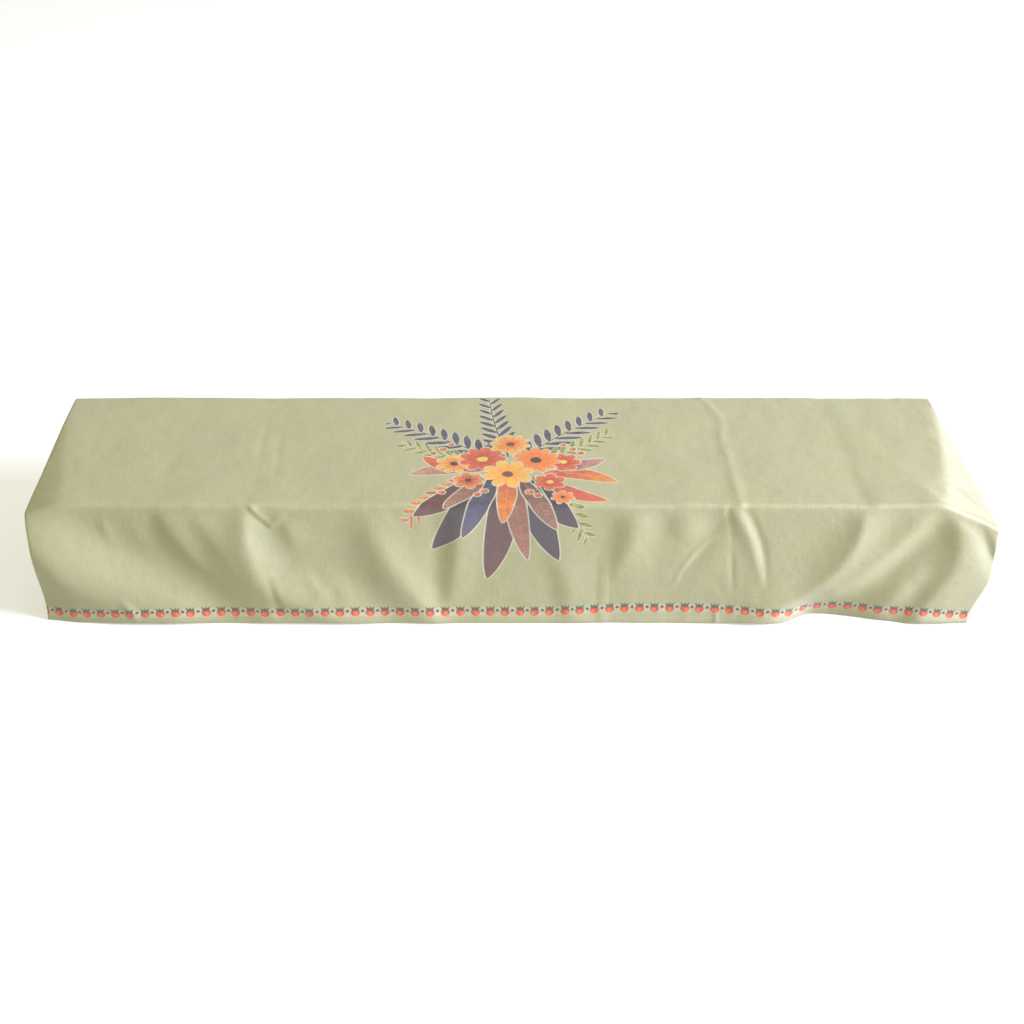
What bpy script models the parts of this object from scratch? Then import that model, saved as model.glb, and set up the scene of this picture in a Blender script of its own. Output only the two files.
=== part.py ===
# Dust cover for a full-length keyboard, in the shape in which it hangs on one.
# It is sewn from three cuts of cloth: a long panel that makes the front, the top and
# the back, and a panel for each end. The keyboard itself is not part of it.
# Metres, +Z up, the front towards -Y and +X to the right. The origin is on the
# underside of the top, midway along the keyboard and between front and back.

import math
from collections import namedtuple

import bpy
import numpy as np

# Driving sizes of the cover
LEFT_END = -0.685
RIGHT_END = 0.705
DEPTH = 0.331
DROP = 0.206
EDGE_RADIUS = 0.008

# Cloth, hem and seams
CLOTH = 0.0018
HEM_CLOTH = 0.0026
HEM_HEIGHT = 0.014
HEM_STEP = 0.002
SEAM_GAP = 0.0003

# How fine the solids are: spacing of the columns along the cover, and rows on each face
COLUMN_SPANS = (
    (LEFT_END, -0.250, 0.0145),
    (-0.250, 0.150, 0.0200),
    (0.150, RIGHT_END, 0.0140),
)
FRONT_ROWS = 8
TOP_ROWS = 8
BACK_ROWS = 5
ARC_STEPS = 2
PATH_STEPS = 60

# How far a face's folds carry on into the cloth beside it
FOLD_REACH = 0.100
TOP_REACH = 0.060
END_REACH = 0.120

# The share of a fold's height that the top's edge holds back, and how far down
EDGE_HOLD = 0.70
EDGE_REACH = 0.030

# The share of a ridge's height by which it lifts the hem below it
HEM_LIFT = 0.60

# A fold is a soft ridge, or a trough where its rise is negative, along a curved line.
# start, middle and end are points of that line: (x, drop below the top) on the front and
# back, (x, distance behind the front edge) on the top, and (distance behind the front
# edge, drop) on the ends. left and right are the widths of its two flanks at its start
# and its end, rise is its height at start, middle and end, and soft rounds its crest.
Fold = namedtuple("Fold", "name start middle end left right rise soft")

FRONT_FOLDS = (
    Fold("left corner rounded back", (-0.692, 0.070), (-0.688, 0.140), (-0.684, 0.230),
         (0.030, 0.030), (0.018, 0.050), (-0.002, -0.007, -0.008), 0.5),
    Fold("crest of the left band", (-0.687, 0.038), (-0.640, 0.124), (-0.500, 0.186),
         (0.054, 0.050), (0.064, 0.066), (0.008, 0.017, 0.010), 0.6),
    Fold("trough over the left band", (-0.640, 0.020), (-0.552, 0.078), (-0.424, 0.150),
         (0.046, 0.040), (0.070, 0.070), (-0.002, -0.007, -0.004), 0.6),
    Fold("first pulled ridge", (-0.492, 0.010), (-0.450, 0.092), (-0.362, 0.170),
         (0.022, 0.050), (0.080, 0.090), (0.002, 0.0060, 0.0012), 0.3),
    Fold("valley beside the first pulled ridge", (-0.505, 0.014), (-0.470, 0.092), (-0.392, 0.162),
         (0.026, 0.034), (0.014, 0.020), (-0.001, -0.0024, -0.0002), 0.4),
    Fold("second pulled ridge", (-0.438, 0.014), (-0.416, 0.058), (-0.394, 0.105),
         (0.020, 0.028), (0.045, 0.060), (0.002, 0.0045, 0.0015), 0.4),
    Fold("ridge under the pinch", (-0.370, 0.004), (-0.366, 0.098), (-0.320, 0.192),
         (0.036, 0.110), (0.024, 0.078), (0.004, 0.0125, 0.0062), 0.2),
    Fold("shelf beside the pinch ridge", (-0.345, 0.128), (-0.288, 0.176), (-0.212, 0.210),
         (0.030, 0.022), (0.056, 0.060), (0.001, 0.009, 0.006), 0.6),
    Fold("ridge right of the pinch", (-0.314, 0.028), (-0.306, 0.050), (-0.298, 0.078),
         (0.014, 0.018), (0.030, 0.036), (0.001, 0.0026, 0.0006), 0.35),
    Fold("ridge left of the middle", (-0.196, 0.008), (-0.171, 0.092), (-0.118, 0.180),
         (0.040, 0.054), (0.058, 0.034), (0.002, 0.0085, 0.008), 0.35),
    Fold("upright trough", (-0.100, 0.025), (-0.096, 0.080), (-0.098, 0.150),
         (0.020, 0.020), (0.026, 0.016), (-0.001, -0.0024, -0.001), 0.4),
    Fold("upright ridge", (-0.066, 0.012), (-0.064, 0.065), (-0.076, 0.160),
         (0.022, 0.016), (0.045, 0.026), (0.003, 0.004, 0.002), 0.4),
    Fold("low ridge under the print", (0.072, 0.075), (0.094, 0.125), (0.102, 0.190),
         (0.028, 0.026), (0.050, 0.050), (0.001, 0.004, 0.003), 0.4),
    Fold("ridge right of the print", (0.190, 0.006), (0.187, 0.060), (0.164, 0.130),
         (0.036, 0.022), (0.036, 0.042), (0.003, 0.006, 0.001), 0.4),
    Fold("soft ridge before the notch", (0.262, 0.008), (0.262, 0.034), (0.256, 0.064),
         (0.028, 0.022), (0.034, 0.030), (0.001, 0.003, 0.0005), 0.45),
    Fold("curved trough from the notch", (0.318, 0.006), (0.300, 0.060), (0.256, 0.140),
         (0.040, 0.016), (0.022, 0.022), (-0.0005, -0.0022, -0.0006), 0.3),
    Fold("sharp ridge from the notch", (0.325, -0.006), (0.355, 0.046), (0.377, 0.116),
         (0.026, 0.022), (0.014, 0.009), (0.0026, 0.0036, 0.0012), 0.2),
    Fold("long curved ridge", (0.521, -0.003), (0.508, 0.094), (0.408, 0.184),
         (0.022, 0.130), (0.060, 0.050), (0.002, 0.013, 0.013), 0.15),
    Fold("hem drawn back", (0.455, 0.150), (0.462, 0.185), (0.466, 0.220),
         (0.045, 0.050), (0.080, 0.125), (-0.004, -0.016, -0.030), 0.5),
    Fold("second curved ridge", (0.620, 0.006), (0.574, 0.066), (0.500, 0.140),
         (0.030, 0.042), (0.020, 0.026), (0.001, 0.006, 0.004), 0.25),
    Fold("valley below the second curved ridge", (0.634, 0.034), (0.594, 0.092), (0.540, 0.152),
         (0.020, 0.024), (0.026, 0.034), (-0.001, -0.005, -0.003), 0.4),
    Fold("low ridge by the hem", (0.620, 0.100), (0.592, 0.140), (0.566, 0.180),
         (0.030, 0.036), (0.024, 0.026), (0.001, 0.004, 0.003), 0.5),
    Fold("right corner ridge", (0.642, 0.006), (0.658, 0.078), (0.628, 0.186),
         (0.024, 0.034), (0.050, 0.075), (0.003, 0.009, 0.007), 0.3),
    Fold("hollow behind the ear", (0.682, 0.020), (0.702, 0.070), (0.712, 0.115),
         (0.020, 0.018), (0.012, 0.012), (-0.003, -0.0045, -0.001), 0.4),
)

BACK_FOLDS = (
    Fold("back fold 1", (-0.620, 0.010), (-0.600, 0.110), (-0.540, 0.200),
         (0.050, 0.070), (0.045, 0.060), (0.000, 0.008, 0.007), 0.3),
    Fold("back fold 2", (-0.430, 0.005), (-0.445, 0.100), (-0.480, 0.200),
         (0.040, 0.060), (0.050, 0.070), (0.000, -0.006, -0.007), 0.4),
    Fold("back fold 3", (-0.235, 0.005), (-0.220, 0.110), (-0.180, 0.200),
         (0.035, 0.060), (0.045, 0.055), (0.000, 0.007, 0.006), 0.3),
    Fold("back fold 4", (-0.020, 0.010), (-0.030, 0.090), (-0.020, 0.200),
         (0.040, 0.060), (0.040, 0.060), (0.000, -0.005, -0.007), 0.4),
    Fold("back fold 5", (0.170, 0.005), (0.160, 0.110), (0.110, 0.200),
         (0.045, 0.070), (0.035, 0.050), (0.000, 0.007, 0.006), 0.3),
    Fold("back fold 6", (0.335, 0.000), (0.350, 0.100), (0.400, 0.200),
         (0.030, 0.060), (0.040, 0.060), (0.000, 0.008, 0.007), 0.2),
    Fold("back fold 7", (0.520, 0.005), (0.505, 0.100), (0.500, 0.200),
         (0.050, 0.060), (0.035, 0.060), (0.000, -0.007, -0.008), 0.3),
    Fold("back fold 8", (0.650, 0.010), (0.640, 0.100), (0.600, 0.200),
         (0.040, 0.060), (0.040, 0.060), (0.000, 0.008, 0.007), 0.3),
)

TOP_FOLDS = (
    Fold("top ridge to the notch", (0.352, 0.002), (0.344, 0.100), (0.335, 0.206),
         (0.018, 0.014), (0.014, 0.012), (0.0020, 0.0013, 0.0008), 0.25),
    Fold("top ridge to the notch, far half", (0.334, 0.198), (0.337, 0.264), (0.308, 0.334),
         (0.014, 0.012), (0.012, 0.012), (0.0002, 0.0011, 0.0009), 0.25),
    Fold("top trough to the curved ridge", (0.524, 0.000), (0.5125, 0.150), (0.507, 0.330),
         (0.030, 0.022), (0.020, 0.022), (-0.0017, -0.0009, -0.0004), 0.3),
    Fold("top ridge to the right corner", (0.626, 0.005), (0.612, 0.050), (0.592, 0.110),
         (0.026, 0.026), (0.020, 0.020), (0.0014, 0.0009, 0.0002), 0.3),
    Fold("top hollow on the left", (-0.300, 0.030), (-0.330, 0.120), (-0.360, 0.260),
         (0.070, 0.060), (0.070, 0.060), (-0.0012, -0.0010, -0.0006), 0.5),
    Fold("top rise in the middle", (-0.060, 0.120), (0.060, 0.160), (0.200, 0.180),
         (0.080, 0.080), (0.080, 0.080), (0.0008, 0.0014, 0.0010), 0.5),
)

LEFT_FOLDS = (
    Fold("left end fold 1", (0.060, 0.030), (0.070, 0.110), (0.090, 0.206),
         (0.030, 0.040), (0.030, 0.045), (0.000, 0.006, 0.008), 0.3),
    Fold("left end fold 2", (0.170, 0.020), (0.160, 0.110), (0.165, 0.206),
         (0.040, 0.045), (0.035, 0.040), (0.000, -0.006, -0.008), 0.4),
    Fold("left end fold 3", (0.275, 0.030), (0.262, 0.110), (0.240, 0.206),
         (0.030, 0.040), (0.030, 0.040), (0.000, 0.006, 0.007), 0.3),
)

RIGHT_FOLDS = (
    Fold("right end fold 1", (0.050, 0.040), (0.070, 0.110), (0.105, 0.206),
         (0.030, 0.045), (0.028, 0.040), (0.000, 0.009, 0.010), 0.25),
    Fold("right end fold 2", (0.150, 0.030), (0.165, 0.100), (0.170, 0.206),
         (0.035, 0.045), (0.035, 0.040), (0.000, -0.007, -0.009), 0.4),
    Fold("right end fold 3", (0.285, 0.030), (0.262, 0.110), (0.225, 0.206),
         (0.030, 0.040), (0.032, 0.045), (0.000, 0.008, 0.009), 0.3),
)

# Where the cloth bends over the keyboard's ends and slopes down to the end seams. The
# bend runs from its place at the front to its place at the back, where it meets the seam.
Slope = namedtuple("Slope", "bend_front bend_back steepness")
LEFT_SLOPE = Slope(-0.638, -0.692, 0.28)
RIGHT_SLOPE = Slope(0.633, 0.712, 0.57)
BEND_ROUNDING = 0.014

# How far the ends stand out from their seam lines, or are drawn in where it is negative:
# at the front's top, front's hem, back's top and back's hem. The way down to the hem's
# value starts at the share of the drop named turn.
Flare = namedtuple("Flare", "front_top front_hem back_top back_hem turn")
LEFT_FLARE = Flare(0.003, -0.003, -0.003, -0.010, 0.0)
RIGHT_FLARE = Flare(0.016, -0.012, -0.026, -0.030, 0.45)

CLOTH_COLOUR = (0.533, 0.515, 0.329)
CLOTH_ROUGHNESS = 0.55


def clear_scene():
    for thing in list(bpy.data.objects):
        bpy.data.objects.remove(thing, do_unlink=True)


def fade(ratio):
    """1 where the ratio is 0 or less, 0 where it is 1 or more, and smooth between."""
    held = np.clip(ratio, 0.0, 1.0)
    return 1.0 - held * held * (3.0 - 2.0 * held)


def blend(start, end, share):
    return start + (end - start) * share


def fold_rise(fold, across, down):
    """Height of one fold over each point (across, down) of its face."""
    start, middle, end = (np.array(point) for point in (fold.start, fold.middle, fold.end))
    handle = 2.0 * middle - 0.5 * (start + end)
    share = np.linspace(0.0, 1.0, PATH_STEPS)[:, None]
    line = (1 - share) ** 2 * start + 2 * share * (1 - share) * handle + share ** 2 * end
    heading = 2 * (1 - share) * (handle - start) + 2 * share * (end - handle)
    heading /= np.linalg.norm(heading, axis=1)[:, None]

    points = np.stack((across, down), axis=1)
    apart = np.linalg.norm(points[:, None, :] - line[None, :, :], axis=2)
    near = np.argmin(apart, axis=1)
    offset = points - line[near]
    aside = offset[:, 0] * heading[near, 1] - offset[:, 1] * heading[near, 0]
    beyond = (offset * heading[near]).sum(axis=1)
    beyond = np.where((near == 0) | (near == PATH_STEPS - 1), beyond, 0.0)

    at = share[near, 0]
    left = blend(fold.left[0], fold.left[1], at)
    right = blend(fold.right[0], fold.right[1], at)
    reach = np.hypot(aside / np.where(aside < 0.0, left, right), fold.soft) - fold.soft
    flank = np.clip(1.0 - reach, 0.0, None) ** 2
    cap = np.exp(-(beyond / (0.5 * (left + right))) ** 2)
    first, half, last = fold.rise
    rise = first * (1 - at) * (1 - 2 * at) + 4 * half * at * (1 - at) + last * at * (2 * at - 1)
    return rise * flank * cap


def folds_rise(folds, across, down):
    return sum(fold_rise(fold, across, down) for fold in folds)


def end_slope(slope, outward, back):
    """How far the top has sloped down at a place beyond a keyboard's end."""
    past = outward - blend(abs(slope.bend_front), abs(slope.bend_back), back)
    return slope.steepness * 0.5 * (past + np.hypot(past, BEND_ROUNDING))


def end_flare(flare, back, down):
    """How far an end stands out from its seam line, by place along it and drop."""
    turn = fade((down - flare.turn) / (1.0 - flare.turn))
    front = blend(flare.front_hem, flare.front_top, turn)
    rear = blend(flare.back_hem, flare.back_top, turn)
    return blend(front, rear, back)


def drape(points):
    """Move points of the plain box cover to where its cloth hangs."""
    x, y, z = points.T
    behind = y + DEPTH / 2
    back = np.clip(behind / DEPTH, 0.0, 1.0)
    drop = np.clip(CLOTH - z, 0.0, None)
    down = drop / DROP

    at_front = fade(behind / FOLD_REACH)
    at_back = fade((DEPTH - behind) / FOLD_REACH)
    at_top = fade(drop / TOP_REACH)
    at_left = fade((x - LEFT_END) / END_REACH)
    at_right = fade((RIGHT_END - x) / END_REACH)

    free = 1.0 - EDGE_HOLD * fade(drop / EDGE_REACH)
    front_rise = at_front * free * folds_rise(FRONT_FOLDS, x, drop)
    moved_y = y - front_rise + at_back * free * folds_rise(BACK_FOLDS, x, drop)

    left_out = end_flare(LEFT_FLARE, back, down) + folds_rise(LEFT_FOLDS, behind, drop)
    right_out = end_flare(RIGHT_FLARE, back, down) + folds_rise(RIGHT_FOLDS, behind, drop)
    moved_x = x - at_left * left_out + at_right * right_out

    sloped = end_slope(LEFT_SLOPE, -x, back) + end_slope(RIGHT_SLOPE, x, back)
    moved_z = z - sloped * (1.0 - down) + at_top * folds_rise(TOP_FOLDS, x, behind)
    moved_z += HEM_LIFT * np.clip(front_rise, 0.0, None) * down ** 3
    return np.stack((moved_x, moved_y, moved_z), axis=1)


def column_places():
    """Places of the main panel's columns, with one a cloth's thickness inside each end."""
    places = []
    for start, end, spacing in COLUMN_SPANS:
        count = round((end - start) / spacing)
        places += [blend(start, end, step / count) for step in range(count)]
    places.append(RIGHT_END)
    places.insert(1, LEFT_END + CLOTH)
    places.insert(-1, RIGHT_END - CLOTH)
    return places


def wall_rows(count):
    """Drops of the rows of an upright face from the hem up, each with its cloth."""
    hem_top = DROP - HEM_HEIGHT
    rows = [(DROP, HEM_CLOTH), (hem_top + HEM_STEP, HEM_CLOTH), (hem_top, CLOTH)]
    for step in range(1, count + 1):
        rows.append((blend(hem_top, EDGE_RADIUS, step / count), CLOTH))
    return rows


def section(inset):
    """One section of the cover from the front hem over the top to the back hem.

    Each point is (y, z), inset from the outside by the cloth at that row plus inset,
    or lies on the outside itself where inset is None.
    """
    def deep(cloth):
        return 0.0 if inset is None else cloth + inset

    front = DEPTH / 2
    corner = front - EDGE_RADIUS
    points = [(-front + deep(cloth), CLOTH - drop) for drop, cloth in wall_rows(FRONT_ROWS)]
    radius = EDGE_RADIUS - deep(CLOTH)
    arc = [math.pi / 2 * step / (ARC_STEPS + 1) for step in range(1, ARC_STEPS + 1)]
    centre_z = CLOTH - EDGE_RADIUS
    for turn in arc:
        points.append((-corner - radius * math.cos(turn), centre_z + radius * math.sin(turn)))
    for step in range(TOP_ROWS + 1):
        points.append((blend(-corner, corner, step / TOP_ROWS), CLOTH - deep(CLOTH)))
    for turn in reversed(arc):
        points.append((corner + radius * math.cos(turn), centre_z + radius * math.sin(turn)))
    for drop, cloth in reversed(wall_rows(BACK_ROWS)):
        points.append((front - deep(cloth), CLOTH - drop))
    return points


def add_piece(name, points, faces, material):
    mesh = bpy.data.meshes.new(name)
    mesh.from_pydata(drape(np.array(points)).tolist(), [], faces)
    mesh.shade_smooth()
    mesh.materials.append(material)
    piece = bpy.data.objects.new(name, mesh)
    bpy.context.collection.objects.link(piece)
    return piece


def add_main_panel(material):
    """The long panel: outer and inner faces of one cloth, closed along its four edges."""
    columns = column_places()
    outside, inside = section(None), section(0.0)
    rows = len(outside)
    points = [(x, y, z) for x in columns for y, z in outside]
    points += [(x, y, z) for x in columns for y, z in inside]
    inner = len(columns) * rows

    faces = []
    for column in range(len(columns) - 1):
        for row in range(rows - 1):
            a = column * rows + row
            b = a + rows
            faces.append((a, b, b + 1, a + 1))
            faces.append((inner + a + 1, inner + b + 1, inner + b, inner + a))
    for column in range(len(columns) - 1):
        for row, turn in ((0, 1), (rows - 1, -1)):
            a = column * rows + row
            faces.append((a, inner + a, inner + a + rows, a + rows)[::turn])
    for row in range(rows - 1):
        for column, turn in ((0, 1), (len(columns) - 1, -1)):
            a = column * rows + row
            faces.append((a, a + 1, inner + a + 1, inner + a)[::turn])
    return add_piece("cover_main", points, faces, material)


def end_skin(rim):
    """Points, faces and edge loop of one side of an end panel, inside the rim that it is given.

    The rows of the front and back walls meet the columns of the top on a grid, and each
    rounded corner is a fan of triangles.
    """
    front_count = len(wall_rows(FRONT_ROWS))
    back_count = len(wall_rows(BACK_ROWS))
    top_first = front_count + ARC_STEPS
    top_last = top_first + TOP_ROWS
    back_first = len(rim) - back_count
    last = front_count - 1

    def beside(row):
        """The rim point of the back wall that is level with a row of the front wall."""
        return len(rim) - 1 - round(row * (back_count - 1) / last)

    points = list(rim)
    grid = {}
    for row in range(front_count):
        for column in range(TOP_ROWS + 1):
            grid[row, column] = len(points)
            height = blend(rim[row][1], rim[beside(row)][1], column / TOP_ROWS)
            points.append((rim[top_first + column][0], height))

    faces = []
    for row in range(last):
        faces.append((row, grid[row, 0], grid[row + 1, 0], row + 1))
        for column in range(TOP_ROWS):
            faces.append((grid[row, column], grid[row, column + 1],
                          grid[row + 1, column + 1], grid[row + 1, column]))
        low, high = beside(row), beside(row + 1)
        if low == high:
            faces.append((grid[row, TOP_ROWS], low, grid[row + 1, TOP_ROWS]))
        else:
            faces.append((grid[row, TOP_ROWS], low, high, grid[row + 1, TOP_ROWS]))
    for column in range(TOP_ROWS):
        faces.append((grid[last, column], grid[last, column + 1],
                      top_first + column + 1, top_first + column))
    for index in range(last, top_first):
        faces.append((grid[last, 0], index + 1, index))
    for index in range(top_last, back_first):
        faces.append((grid[last, TOP_ROWS], index + 1, index))
    edge = list(range(len(rim))) + [grid[0, column] for column in range(TOP_ROWS, -1, -1)]
    return points, faces, edge


def add_end_panel(name, seam_x, outward, material):
    """An end panel: two skins of one cloth, just inside the main panel's section."""
    flat, skin, edge = end_skin(section(SEAM_GAP))
    hem_line = CLOTH - (DROP - HEM_HEIGHT)
    points = [(seam_x, y, z) for y, z in flat]
    for y, z in flat:
        cloth = HEM_CLOTH if z < hem_line else CLOTH
        points.append((seam_x - outward * cloth, y, z))
    inner = len(flat)
    turn = int(outward)
    faces = [face[::turn] for face in skin]
    faces += [tuple(index + inner for index in face)[::-turn] for face in skin]
    for here, there in zip(edge, edge[1:] + edge[:1]):
        faces.append((here, there, there + inner, here + inner)[::turn])
    return add_piece(name, points, faces, material)


def cloth_material(name):
    material = bpy.data.materials.new(name)
    material.use_nodes = True
    shader = material.node_tree.nodes["Principled BSDF"]
    shader.inputs["Base Color"].default_value = (*CLOTH_COLOUR, 1.0)
    shader.inputs["Roughness"].default_value = CLOTH_ROUGHNESS
    shader.inputs["Metallic"].default_value = 0.0
    return material


def build():
    clear_scene()
    add_main_panel(cloth_material("main panel cloth"))
    add_end_panel("end_left", LEFT_END, -1.0, cloth_material("left end cloth"))
    add_end_panel("end_right", RIGHT_END, 1.0, cloth_material("right end cloth"))


build()
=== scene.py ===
# Looks of the keyboard dust cover: its cloth, its print and border, and a plain studio
import math
from collections import namedtuple
from functools import partialmethod
from types import SimpleNamespace

import bmesh
import bpy
import numpy as np
from mathutils import Matrix, Vector, noise


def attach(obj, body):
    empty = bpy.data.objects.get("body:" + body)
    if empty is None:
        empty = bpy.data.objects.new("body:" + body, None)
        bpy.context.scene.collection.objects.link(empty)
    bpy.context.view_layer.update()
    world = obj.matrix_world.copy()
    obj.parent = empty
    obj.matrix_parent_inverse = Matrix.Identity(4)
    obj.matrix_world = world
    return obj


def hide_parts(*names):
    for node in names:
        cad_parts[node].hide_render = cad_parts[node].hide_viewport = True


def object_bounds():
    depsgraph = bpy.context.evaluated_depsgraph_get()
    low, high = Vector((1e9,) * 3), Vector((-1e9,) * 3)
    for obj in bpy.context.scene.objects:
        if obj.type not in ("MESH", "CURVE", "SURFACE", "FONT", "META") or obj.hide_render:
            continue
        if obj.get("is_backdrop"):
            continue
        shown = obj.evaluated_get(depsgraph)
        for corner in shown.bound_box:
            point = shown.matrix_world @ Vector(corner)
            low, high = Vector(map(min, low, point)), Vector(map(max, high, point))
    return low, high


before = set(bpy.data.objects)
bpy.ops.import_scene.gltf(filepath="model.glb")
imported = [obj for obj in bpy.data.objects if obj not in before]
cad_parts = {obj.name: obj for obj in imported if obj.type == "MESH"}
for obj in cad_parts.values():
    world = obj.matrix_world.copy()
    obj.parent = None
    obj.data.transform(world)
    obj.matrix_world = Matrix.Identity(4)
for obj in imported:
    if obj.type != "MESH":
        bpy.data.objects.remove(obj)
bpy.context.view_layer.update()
print("frame loaded:", sorted(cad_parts))

# What the cover measures, in metres. The folds below lie on this plain box
cover = {
    "leftEnd": -0.685,
    "rightEnd": 0.705,
    "depth": 0.331,
    "drop": 0.206,
    "edgeRadius": 0.008,
    "topHeight": 0.0018,  # outside of the top, above the keyboard's top
    "cloth": 0.0008,
    "hemHeight": 0.014,
    "hemTurn": 0.0013,  # radius of the turned-up hem's lower edge
    "seamGap": 0.0003,
    "seamRoll": 0.0008,  # how far the cloth rolls in at an end seam
    "seamRollWidth": 0.004,
    "foldReach": 0.1,  # how far a face's folds carry on into the cloth beside it
    "topReach": 0.06,
    "endReach": 0.12,
    "edgeHold": 0.7,  # share of a fold that the top's edge holds back
    "edgeHoldReach": 0.03,
    "bendRounding": 0.009,  # how softly the top starts to slope at its ends
    "unevenness": 0.0016,  # soft swells all over, as in any cloth that was folded away
    "unevenSize": 0.11,
    "pucker": 0.00013,  # ripples that the stitching draws into the hem
    "puckerReach": 0.022,
    "puckerLength": 0.017,
    "puckerDrift": 1.7,  # how far they run early or late in radians, and over what length
    "puckerDriftLength": 0.031,
    "hemKick": 0.0034,  # how far the hem's edge is pushed out by what it stands on
    "hemKickHeight": 0.02,
    "hemLift": 0.6,  # share of a ridge's height that lifts the hem below it
}
halfDepth = cover["depth"] / 2
wallLength = cover["drop"] - cover["edgeRadius"] - cover["hemTurn"]
arcLength = math.pi / 2 * cover["edgeRadius"]
turnLength = math.pi * cover["hemTurn"]
halfRun = wallLength + arcLength + halfDepth - cover["edgeRadius"]
hemFoot = cover["topHeight"] - cover["drop"]


def table(labels, *rows):  # rows whose values are read by their labels
    row = namedtuple("row", labels)
    return [row(*values) for values in rows]


# A fold is a soft ridge, or a trough where its rise is negative, along a curved line.
# start, middle and end are (x, drop below the top) on the front and back, (x, distance
# behind the front edge) on the top, and (distance behind, drop) on the ends. left and
# right are its flanks' widths at start and end, or the one width that a flank keeps.
# rise is at start, middle and end
foldLabels = "name start middle end left right rise soft"

frontFolds = table(
    foldLabels,
    ("left corner rounded back", (-0.692, 0.07), (-0.688, 0.14), (-0.684, 0.23),
     0.03, (0.018, 0.05), (-0.002, -0.007, -0.008), 0.5),
    ("crest of the left band", (-0.687, 0.038), (-0.64, 0.124), (-0.5, 0.186),
     (0.054, 0.05), (0.064, 0.066), (0.008, 0.017, 0.01), 0.6),
    ("trough over the left band", (-0.64, 0.02), (-0.552, 0.078), (-0.424, 0.15),
     (0.046, 0.04), 0.07, (-0.002, -0.007, -0.004), 0.6),
    ("first pulled ridge", (-0.492, 0.01), (-0.45, 0.092), (-0.362, 0.17),
     (0.022, 0.05), (0.08, 0.09), (0.002, 0.006, 0.0012), 0.3),
    ("valley beside that ridge", (-0.505, 0.014), (-0.47, 0.092), (-0.392, 0.162),
     (0.026, 0.034), (0.014, 0.02), (-0.001, -0.0024, -0.0002), 0.4),
    ("second pulled ridge", (-0.438, 0.014), (-0.416, 0.058), (-0.394, 0.105),
     (0.02, 0.028), (0.045, 0.06), (0.002, 0.0045, 0.0015), 0.4),
    ("ridge under the pinch", (-0.37, 0.004), (-0.366, 0.098), (-0.32, 0.192),
     (0.036, 0.11), (0.024, 0.078), (0.004, 0.0125, 0.0062), 0.2),
    ("shelf beside the pinch ridge", (-0.345, 0.128), (-0.288, 0.176), (-0.212, 0.21),
     (0.03, 0.022), (0.056, 0.06), (0.001, 0.009, 0.006), 0.6),
    ("ridge right of the pinch", (-0.314, 0.028), (-0.306, 0.05), (-0.298, 0.078),
     (0.014, 0.018), (0.03, 0.036), (0.001, 0.0026, 0.0006), 0.35),
    ("ridge left of the middle", (-0.196, 0.008), (-0.171, 0.092), (-0.118, 0.18),
     (0.04, 0.054), (0.058, 0.034), (0.002, 0.0085, 0.008), 0.35),
    ("upright trough", (-0.1, 0.025), (-0.096, 0.08), (-0.098, 0.15),
     0.02, (0.026, 0.016), (-0.001, -0.0024, -0.001), 0.4),
    ("upright ridge", (-0.066, 0.012), (-0.064, 0.065), (-0.076, 0.16),
     (0.022, 0.016), (0.045, 0.026), (0.003, 0.004, 0.002), 0.4),
    ("low ridge under the print", (0.072, 0.075), (0.094, 0.125), (0.102, 0.19),
     (0.028, 0.026), 0.05, (0.001, 0.004, 0.003), 0.4),
    ("ridge right of the print", (0.19, 0.006), (0.187, 0.06), (0.164, 0.13),
     (0.036, 0.022), (0.036, 0.042), (0.003, 0.006, 0.001), 0.4),
    ("soft ridge before the notch", (0.262, 0.008), (0.262, 0.034), (0.256, 0.064),
     (0.028, 0.022), (0.034, 0.03), (0.001, 0.003, 0.0005), 0.45),
    ("curved trough from the notch", (0.318, 0.006), (0.3, 0.06), (0.256, 0.14),
     (0.04, 0.016), 0.022, (-0.0005, -0.0022, -0.0006), 0.3),
    ("sharp ridge from the notch", (0.325, -0.006), (0.355, 0.046), (0.377, 0.116),
     (0.026, 0.022), (0.017, 0.011), (0.0024, 0.0034, 0.0012), 0.2),
    ("long curved ridge", (0.52, -0.003), (0.501, 0.091), (0.408, 0.184),
     (0.02, 0.13), (0.066, 0.056), (0.002, 0.013, 0.013), 0.07),
    ("hem drawn back", (0.455, 0.15), (0.462, 0.185), (0.466, 0.22),
     (0.045, 0.05), (0.08, 0.125), (-0.004, -0.016, -0.03), 0.5),
    ("second curved ridge", (0.62, 0.006), (0.574, 0.066), (0.5, 0.14),
     (0.03, 0.042), (0.02, 0.026), (0.001, 0.006, 0.004), 0.25),
    ("valley below that ridge", (0.634, 0.034), (0.594, 0.092), (0.54, 0.152),
     (0.02, 0.024), (0.026, 0.034), (-0.001, -0.005, -0.003), 0.4),
    ("low ridge by the hem", (0.62, 0.1), (0.592, 0.14), (0.566, 0.18),
     (0.03, 0.036), (0.024, 0.026), (0.001, 0.004, 0.003), 0.5),
    ("right corner ridge", (0.642, 0.006), (0.658, 0.078), (0.628, 0.186),
     (0.024, 0.034), (0.05, 0.075), (0.003, 0.009, 0.007), 0.3),
    ("hollow behind the ear", (0.682, 0.02), (0.702, 0.07), (0.712, 0.115),
     (0.02, 0.018), 0.012, (-0.003, -0.0045, -0.001), 0.4),
)

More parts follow.
